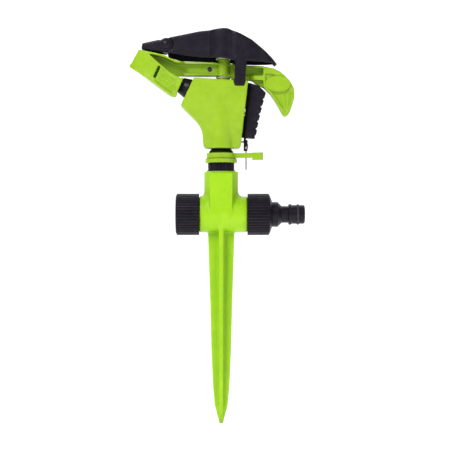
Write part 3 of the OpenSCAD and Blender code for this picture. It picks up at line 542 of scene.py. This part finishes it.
def head_moulding():
    """The head: a wedge round the stem with seats for the nozzle, cover and trip lever."""
    f = Field((-35, -17, HEAD_Z - 1), (28, 17, HEAD_Z + 60), 0.42)
    x, y, z = f.x, f.y, f.z
    h = z - HEAD_Z
    side = outline(head_outline(), x, h)
    flare = HEAD_HALF_FOOT + (HEAD_HALF_TOP - HEAD_HALF_FOOT) * np.clip(h, 0, 60) / 55.5
    crown = 1.1 * (np.clip(h - 32, 0, 30) / 24) ** 2 + 0.9 * (np.clip(-4 - x, 0, 30) / 24) ** 2
    wedge = slab(side, y * HEAD_HALF_TOP / (flare - crown), HEAD_HALF_TOP, 1.2)
    housing = bar(HOUSING_R, h, 0, 38, 1.0, np.hypot(x, y))
    d = join(wedge, housing, 0.9)
    d = np.maximum(d, -h)
    boss = bar(5.6, h, 45, 57.9, 0.3, np.hypot(x - ARM_X, y))
    d = join(d, boss, 0.8)
    # stem, collar and fulcrum bores
    d = np.maximum(d, -bar(8.02, h, -3, 2, 0.1, np.hypot(x, y)))
    d = np.maximum(d, -bar(STEM_BORE_R, h, -3, 15, 0.1, np.hypot(x, y)))
    d = np.maximum(d, -bar(4, h, 10, 40, 0.1, np.hypot(x, y)))
    d = np.maximum(d, -bar(FULCRUM_BORE_R, h, 42, 70, 0.1, np.hypot(x - ARM_X, y)))
    # seats of the cover's legs
    leg = [(10.35, 62), (10.35, 53.8), (11.15, 50.65), (18.75, 50.65), (19.55, 53.8), (20.15, 62)]
    d = np.maximum(d, -np.maximum(outline(leg, x, h), 12.05 - np.abs(y)))
    # nozzle bore
    seat = (-33 + 15.6 * math.sin(JET), HEAD_Z + 34.9 + 15.6 * math.cos(JET))
    u, along = turned(x, z, seat, JET - math.pi / 2)
    jet = np.hypot(u, y)
    d = np.maximum(d, -bar(NOZZLE_BORE_R, along, -12, 20, 0.1, jet))
    # channel, lugs and spring seat of the trip lever
    u, v = turned(x, z, LEVER_FOOT, LEAN)
    channel = np.maximum(np.maximum(-LEVER_SEAT - u, np.abs(y) - 6.4), 6.9 - v)
    d = cut(d, channel, 0.5)
    for low, high in LEVER_LUGS:
        ear = bar(2.9, v, low, high, 0.3, np.hypot(u, y))
        stalk = np.maximum(np.maximum(np.abs(y) - 1.6, np.abs(v - (low + high) / 2) - (high - low) / 2),
                           np.maximum(u, -LEVER_SEAT - 1 - u))
        d = np.minimum(d, np.maximum(np.minimum(ear, stalk), -(np.hypot(u, y) - 1.27)))
    d = np.minimum(d, bar(1.1, u, -6.9, -4.7, 0.1, np.hypot(v - LEVER_SPRING_V, y)))
    # stub bore under the lever
    d = np.maximum(d, -bar(0.92, x, 12, 20, 0.05, np.hypot(y, h - 5.6)))
    place(mesh_field("head_moulding", f, d, 2), "head", "head_green", "head_body")


# ---------------------------------------------------------------- hammer arm

# Outlines from the side are (x, height in the head); ARM_PLAN, NEAR_WALL and FOOT_PLAN are (x, y).
UPPER_RIM = [(34.6, 67), (-6.6, 70.3), (-30, 70.7), (-36.4, 71.2), (-41, 73.2), (-45.7, 75.4),
             (-51, 77), (-57.4, 78.4), (-67.2, 80.6)]
LOWER_RIM = [(34.6, 59.2), (22, 59.6), (-30.2, 61.3)]
LOWER_FLANGE = LOWER_RIM + [(-31, 58.4), (-22, 57.9), (22, 56), (34.6, 55.6)]
GUSSET = [(21.5, 57.5), (34.8, 57.5), (34.8, 49.6), (30.5, 51.8), (27.5, 53.3), (25.6, 55.3), (21.5, 56)]
SPOON_RIM = [(-30.6, 58.6), (-32.2, 56.8), (-34.9, 57.6), (-40.8, 61), (-50.5, 68.8), (-60.4, 78)]
SPOON_FOOT = [(-75.3, 67.8), (-74.6, 66.9), (-65.5, 60.6), (-57.5, 55.3), (-47.7, 47.9),
              (-38.6, 41.3), (-36.4, 42), (-35.4, 46.1), (-31, 56)]
ARM_PLAN = [(34.6, 6.5), (27, 6.5), (23, 3.2), (9, 3.2), (-4, 5.5), (-30, 5.5), (-41, 9), (-60, 9),
            (-64, 6.2), (-68.4, 0), (-75.2, 1.4), (-75.2, 0.2), (-70, -4.8), (-62, -9), (-52, -10.6),
            (-33, -10.6), (-29.6, -5.5), (-4, -5.5), (9, -3.2), (23, -3.2), (27, -6.5), (34.6, -6.5)]
NEAR_WALL = [(-30.4, -8.95), (-52, -8.8), (-61.4, -7.1), (-69, -3), (-75.2, 2), (-75.2, 0.2),
             (-70, -4.8), (-62, -9), (-52, -10.6), (-30.4, -10.6)]
FOOT_PLAN = [(-80, -20), (-36.6, -20), (-36.6, -8.9), (-45, 9), (-80, 9)]
PANEL = [(-49.6, 67.6), (-40.4, 59.8), (-35.8, 57), (-37.3, 46.4), (-40.4, 44.8), (-47.9, 50), (-54, 54.6)]
HOOK = [(34.2, 67), (43.5, 65.2), (48.4, 62.7), (52.4, 59.3), (55.6, 55.3), (57.3, 53), (59.2, 49.6),
        (59.8, 45.6), (59.7, 41.5), (58.8, 37.7), (56.6, 31.2), (55.2, 28.2), (53.4, 26.5), (51.6, 26.3),
        (49.8, 28.2), (47, 33.6), (43.8, 39), (40.4, 44), (36.5, 48.2), (34.2, 50.4)]
HOOK_INSIDE = [(36.4, 61.2), (43, 60), (48, 57.6), (52.6, 53.6), (57.4, 46), (56.6, 38.6), (53.8, 30.6),
               (52.8, 29.4), (48, 36.4), (43.2, 43.6), (38.6, 49.4), (36.4, 51.8)]
WEIGHT = (46.4, 52.6)
SLOT_AT = (-52.1, 62.6)
SLOT_LEAN = math.radians(25)
PANEL_DEEP = 1.0
RIM_THICK = 1.7
HOOK_HALF = 6.5
HUB_R = 5.2
HUB_FOOT = 58.6
ARM_HOLE = (-9.3, 65.1)


def band(line, thick):
    """A strip that hangs below a line."""
    return list(line) + [(x, z - thick) for x, z in reversed(line)]


def ellipse(u, v, a, b):
    """About the distance to an ellipse."""
    return (np.hypot(u / a, v / b) - 1) * min(a, b)


def inner_ridge(x, h, at, lean, half):
    """A straight ridge of the moulding, seen from the side."""
    a = math.radians(lean)
    return np.abs((x - at[0]) * math.cos(a) - (h - at[1]) * math.sin(a)) - half


def spoon_and_beam(x, y, h):
    """The arm's beam with its rims, and the spoon that the jet strikes."""
    plan = outline(ARM_PLAN, x, y)
    near = outline(list(reversed(SPOON_RIM)) + list(reversed(SPOON_FOOT)) + [(-67.2, 80.6)], x, h)
    wall = common(near, outline(NEAR_WALL, x, y), 0.5)
    # slot and sunk panel with its ridges
    u, v = turned(x, h, SLOT_AT, SLOT_LEAN)
    wall = np.maximum(wall, -np.maximum(np.abs(u) - 1.05, np.abs(v) - 5.7))
    panel = outline(PANEL, x, h)
    wall = cut(wall, np.maximum(panel, y + 10.6 - PANEL_DEEP), 0.4)
    for k in range(5):
        ridge = inner_ridge(x, h, (-45.6 + k, 53.2 + 2.2 * k), 90 + 33, 0.45)
        strip = np.maximum(np.maximum(ridge, panel + 0.5), np.maximum(-10.3 - y, y + 9.5))
        wall = join(wall, strip, 0.4)
    far = common(near, np.maximum(np.maximum(-60 - x, x + 41), np.abs(y - 8.2) - 0.8), 0.5)
    floor = band([(px, ph + RIM_THICK) for px, ph in SPOON_FOOT if px < -36], RIM_THICK)
    foot = common(outline(floor, x, h), np.maximum(plan, outline(FOOT_PLAN, x, y)), 0.5)
    rims = [UPPER_RIM, LOWER_RIM + SPOON_RIM[:1], SPOON_RIM]
    d = join(join(wall, far, 0.6), foot, 1.0)
    for line in rims:
        d = join(d, common(outline(band(line, RIM_THICK), x, h), plan, 0.5), 0.9)
    d = join(d, common(outline(LOWER_FLANGE, x, h), plan, 0.5), 0.6)
    d = join(d, slab(outline(GUSSET, x, h), y, 2.6, 0.5), 0.9)
    web = outline(UPPER_RIM + list(reversed(SPOON_RIM)) + list(reversed(LOWER_RIM)), x, h)
    d = join(d, np.maximum(slab(web, y, 1.2, 0.2), plan), 1.2)
    # room for the head and nozzle under the swinging arm
    path = np.maximum(np.maximum(np.hypot(x - ARM_X, y) - 39, np.abs(y - 11.1) - 20), h - 59.3)
    return np.maximum(d, -np.maximum(path, x - ARM_X))


def hook(x, y, h):
    """The hooked counterweight, hollow from both sides, with the seat of its slug."""
    shell = slab(outline(HOOK, x, h), y, HOOK_HALF, 1.1)
    inside = outline(HOOK_INSIDE, x, h)
    shell = cut(shell, np.maximum(inside, y + 5.2), 0.7)
    shell = cut(shell, np.maximum(inside, -3.0 - y), 0.7)
    for k in range(2):
        lean = math.radians(14 * k - 6)
        rib = np.abs((x - 51.6 - 3 * k) * math.cos(lean) - (h - 39) * math.sin(lean)) - 0.45
        rib = np.maximum(np.maximum(rib, np.abs(h - 39) - 11), outline(HOOK, x, h) + 1)
        shell = join(shell, np.maximum(rib, np.abs(y) - 5.8), 0.9)
    seat = slab(ellipse(x - WEIGHT[0], h - WEIGHT[1], 10.4, 6.6), y, HOOK_HALF, 0.5)
    shell = join(shell, seat, 0.7)
    well = ellipse(x - WEIGHT[0], h - WEIGHT[1], 8.8, 5.0)
    return np.maximum(shell, -np.maximum(well, y - 4.5))


def arm_moulding():
    """The hammer arm with its hub and the pad that meets the cover's leg."""
    f = Field((-77.5, -13.5, HEAD_Z + 25), (61.5, 11, HEAD_Z + 82.5), 0.4)
    x, y, h = f.x, f.y, f.z - HEAD_Z
    d = join(spoon_and_beam(x, y, h), hook(x, y, h), 0.8)
    around = np.hypot(x - ARM_X, y)
    d = join(d, bar(HUB_R, h, HUB_FOOT, 73.3, 0.5, around), 1.0)
    pad = np.maximum(np.maximum(np.abs(x - 15.7) - 2.7, np.abs(h - 63.3) - 3.3), np.maximum(y, -12.15 - y))
    d = join(d, pad, 0.5)
    d = np.maximum(d, -np.maximum(around - 6.8, h - HUB_FOOT))
    d = np.maximum(d, 2.05 - around)
    d = np.maximum(d, 2.0 - np.hypot(x - ARM_HOLE[0], h - ARM_HOLE[1]))
    place(mesh_field("arm_moulding", f, d, 1), "arm", "head_green", "hammer_arm")


# ---------------------------------------------------------------- trip lever

LEVER_HALF = 5.5
LEVER_TOP = 53.6
LEVER_CORNER = (11.1, 46.4)
LEVER_TAIL = (6.9, 9.6)
TOOTH_DEPTH = 1.4
TEETH = 6


def lever_edge(v):
    """Outer edge of the lever against height: a bow with rounded teeth."""
    f = np.clip((LEVER_CORNER[1] - v) / (LEVER_CORNER[1] - LEVER_TAIL[1]), 0, 1)
    bow = LEVER_TAIL[0] + (LEVER_CORNER[0] - LEVER_TAIL[0]) * (1 - f) ** 1.5
    phase = (f * TEETH) % 1.0
    return bow - TOOTH_DEPTH * np.clip((phase - 0.55) / 0.35, 0, 1) ** 1.3


def lever_moulding():
    """The trip lever in its own frame: u outwards and v up along the hinge."""
    f = Field((12, -7.2, HEAD_Z + 6), (40, 7.2, HEAD_Z + 56), 0.32)
    x, y, z = f.x, f.y, f.z
    u, v = turned(x, z, LEVER_FOOT, LEAN)
    shoulder = 51.4
    top = LEVER_TOP + (shoulder - LEVER_TOP) * np.clip((u + LEVER_HALF) / 10.2, 0, 1)
    top = top - np.clip(u - 4.7, 0, 20) * (shoulder - LEVER_CORNER[1]) / 6.4
    side = np.maximum(u - lever_edge(v), v - top)
    side = common(side, 8.0 - v, 3.0)
    body = np.where(u < 0, np.hypot(u, y) - LEVER_HALF, np.abs(y) - LEVER_HALF)
    d = common(side, body, 1.1)
    # shallow grip flutes on both flanks
    f_row = (LEVER_CORNER[1] - v) / (LEVER_CORNER[1] - LEVER_TAIL[1]) * TEETH
    flute = np.abs((f_row % 1.0) - 0.75) * 6.1 - 0.9
    ends = np.maximum(lever_edge(v) - 3.4 - u, LEVER_TAIL[1] - v)
    flute = np.maximum(np.maximum(flute, 5.15 - np.abs(y)), ends)
    d = cut(d, flute, 0.5)
    around = np.hypot(u, y)
    d = np.maximum(d, 1.3 - around)
    for low, high in LEVER_LUGS:
        space = np.minimum(around - 3.3, np.maximum(np.abs(y) - 3.2, u))
        d = np.maximum(d, -np.maximum(space, np.abs(v - (low + high) / 2) - (high - low) / 2 - 0.3))
    # room for the spring and for the trip pin's finger
    window = np.maximum(np.abs(y) - 2.7 - 0.1 * np.abs(u), np.abs(v - LEVER_SPRING_V) - 3.0)
    d = np.maximum(d, -np.maximum(window, u - 3.2))
    d = np.maximum(d, -np.maximum(np.maximum(np.abs(y) - 1.25, v - 11.6), u + 0.7))
    place(mesh_field("lever_moulding", f, d, 1), "lever", "black_plastic", "trip_lever")


# ---------------------------------------------------------------- cover and nose flap

# COVER_TOP runs from the nose over the top to the tail, COVER_EDGE back along the near lower edge.
COVER_TOP = [(-64.6, 85.9), (-41.1, 90.7), (-17.8, 95.3), (1.7, 97.2), (5.5, 97), (15.7, 92.9),
             (25, 87.9), (36.2, 79), (42.6, 73), (45.9, 69.2)]
COVER_EDGE = [(43.6, 67.4), (42.2, 69.6), (11, 70.7), (3.6, 72.5), (-10.2, 73.6), (-24.1, 74.8),
              (-39.9, 77.1), (-50.2, 78.6), (-65.6, 81.2)]
FAR_SKIRT = [(-43.8, 79), (-43.8, 75.7), (-38, 74), (-33, 72.6), (2, 71.6), (6, 73), (6, 80)]
FLAP_PIVOT = (-44.7, 84.7)
LEG_OUT = 14.6
LEG_IN = 12.2
BARREL_R = 15
WALL = 2
KNUCKLE_HALF = 6.05
KNUCKLE_R = 6.2
EAR_R = 5.3
HINGE_GAP = 0.35


def cover_plan():
    """The cover's outline from above."""
    half = [(-65.6, 5.6), (-63, 6.9), (-45, 8.4), (-26, 9), (-8, 9.6), (8, 13.2)]
    half += [(12 + 35.6 * t, LEG_OUT * (1 - t ** 2.6) ** 0.8) for t in np.arange(0, 1.0, 0.09)]
    return half + [(px, -py) for px, py in reversed(half)]


def cover_field():
    """The hollow shell that the cover and the flap share."""
    f = Field((-67.5, -17, HEAD_Z + 48), (48, 17, HEAD_Z + 98.5), 0.42)
    x, y, h = f.x, f.y, f.z - HEAD_Z
    side = outline(COVER_TOP + COVER_EDGE, x, h)
    plan = join(outline(cover_plan(), x, y), np.hypot(x - ARM_X, y) - BARREL_R, 0.6)
    skirt = np.maximum(outline(FAR_SKIRT, x, h), 5 - y)
    outer = common(np.minimum(side, skirt), plan, 1.5)
    drop = [(px, pz - 2.2) for px, pz in COVER_TOP]
    inner = [(-63.2, 60), (-63.2, 82.6)] + [p for p in drop if p[0] < 40] + [(44, 70), (47, 60)]
    inside = common(outline(inner, x, h), plan + WALL, 1.0)
    return f, x, y, h, outer, cut(outer, inside, 0.5)


def cover_and_flap():
    """Splits the shell at the hinge into the bridge cover and its nose flap."""
    f, x, y, h, outer, shell = cover_field()
    px, pz = FLAP_PIVOT
    around = np.hypot(x - px, h - pz)
    zone = np.minimum(x - px, around - EAR_R)
    inner = np.abs(y) - KNUCKLE_HALF
    knuckle = np.maximum(around - KNUCKLE_R, inner)
    tongue = np.maximum(np.maximum(px - x, x - px - 9), np.maximum(pz - 3.4 - h, inner))
    # the cover with its tongue, fulcrum boss and two legs
    d = np.maximum(shell, HINGE_GAP - zone)
    d = np.minimum(d, np.maximum(np.minimum(knuckle, tongue), outer))
    boss = bar(4.2, h, 87.2, 95.6, 0.3, np.hypot(x - ARM_X, y))
    d = join(d, boss, 1.0)
    d = np.maximum(d, -bar(FULCRUM_BORE_R, h, 70, 93.4, 0.05, np.hypot(x - ARM_X, y)))
    leg = [(11.5, 74), (10.5, 53.8), (11.3, 50.8), (18.6, 50.8), (19.4, 53.8), (20.8, 74)]
    thick = np.abs(np.abs(y) - (LEG_IN + LEG_OUT) / 2) - (LEG_OUT - LEG_IN) / 2
    leg = common(outline(leg, x, h), thick, 0.5)
    d = join(d, leg, 0.6)
    d = np.maximum(d, 1.42 - around)
    place(mesh_field("cover_moulding", f, d, 1), "head", "black_plastic", "top_cover")
    # the nose flap with its two ears
    room = np.maximum(around - KNUCKLE_R - HINGE_GAP, inner - HINGE_GAP)
    room = np.minimum(room, np.maximum(px - 1 - x, inner - HINGE_GAP))
    flap = np.maximum(np.maximum(shell, -room), zone)
    # a dip beside the boss, so that the lifted flap clears the cover
    flap = cut(flap, np.maximum(88.2 - h, -50.2 - x), 0.4)
    ear = common(around - EAR_R, np.abs(np.abs(y) - 7.65) - 1.25, 0.4)
    flap = join(flap, ear, 0.4)
    flap = np.maximum(flap, 1.45 - around)
    place(mesh_field("flap_moulding", f, flap, 1), "flap", "black_plastic", "nose_flap")


# ---------------------------------------------------------------- small added pieces


def turned_piece(name, profile, segments=32):
    """A piece turned about Z from a profile of radius and height in millimetres."""
    bm = bmesh.new()
    verts = [bm.verts.new((r * MM, 0, z * MM)) for r, z in profile]
    for a, b in zip(verts, verts[1:]):
        bm.edges.new((a, b))
    bmesh.ops.spin(bm, geom=bm.verts[:] + bm.edges[:], axis=(0, 0, 1), cent=(0, 0, 0),
                   steps=segments, angle=math.tau)
    bmesh.ops.remove_doubles(bm, verts=bm.verts, dist=0.000002)
    bmesh.ops.recalc_face_normals(bm, faces=bm.faces)
    mesh = bpy.data.meshes.new(name)
    bm.to_mesh(mesh)
    bm.free()
    obj = bpy.data.objects.new(name, mesh)
    bpy.context.scene.collection.objects.link(obj)
    for face in mesh.polygons:
        face.use_smooth = True
    return obj


def dark_hole_plug():
    """Plug that closes the arm's round hole so that it is blind; its dark colour is painted shade for the
    inside of the hole.
    """
    obj = turned_piece("dark_hole_plug", [(0, -1.1), (1.5, -1.1), (1.9, -0.9), (1.9, 0.9), (1.5, 1.1),
                                      (1.1, 0.8), (0, 0.7)])
    obj.data.transform(Matrix.Rotation(math.radians(90), 4, "X"))
    obj.data.transform(Matrix.Translation((ARM_HOLE[0] * MM, 0, (HEAD_Z + ARM_HOLE[1]) * MM)))
    place(obj, "arm", "rubber")


def wire_clip():
    """Bent spring clip that steadies the trip wire in its prong."""
    path = [(21.75, 0, 0.9), (21.95, 0, 1.8), (22.0, 0, 2.8), (21.9, 0, 3.6), (21.6, 0, 4.1)]
    curve = bpy.data.curves.new("wire_clip", "CURVE")
    curve.dimensions = "3D"
    curve.bevel_depth = 0.38 * MM
    curve.bevel_resolution = 3
    curve.use_fill_caps = True
    spline = curve.splines.new("NURBS")
    spline.points.add(len(path) - 1)
    for point, (x, y, h) in zip(spline.points, path):
        point.co = (x * MM, y * MM, (HEAD_Z + h) * MM, 1)
    spline.use_endpoint_u = True
    spline.order_u = 3
    obj = bpy.data.objects.new("wire_clip", curve)
    bpy.context.scene.collection.objects.link(obj)
    place(obj, "pin", "steel")


spike_and_tee()
head_moulding()
arm_moulding()
lever_moulding()
cover_and_flap()
dark_hole_plug()
wire_clip()
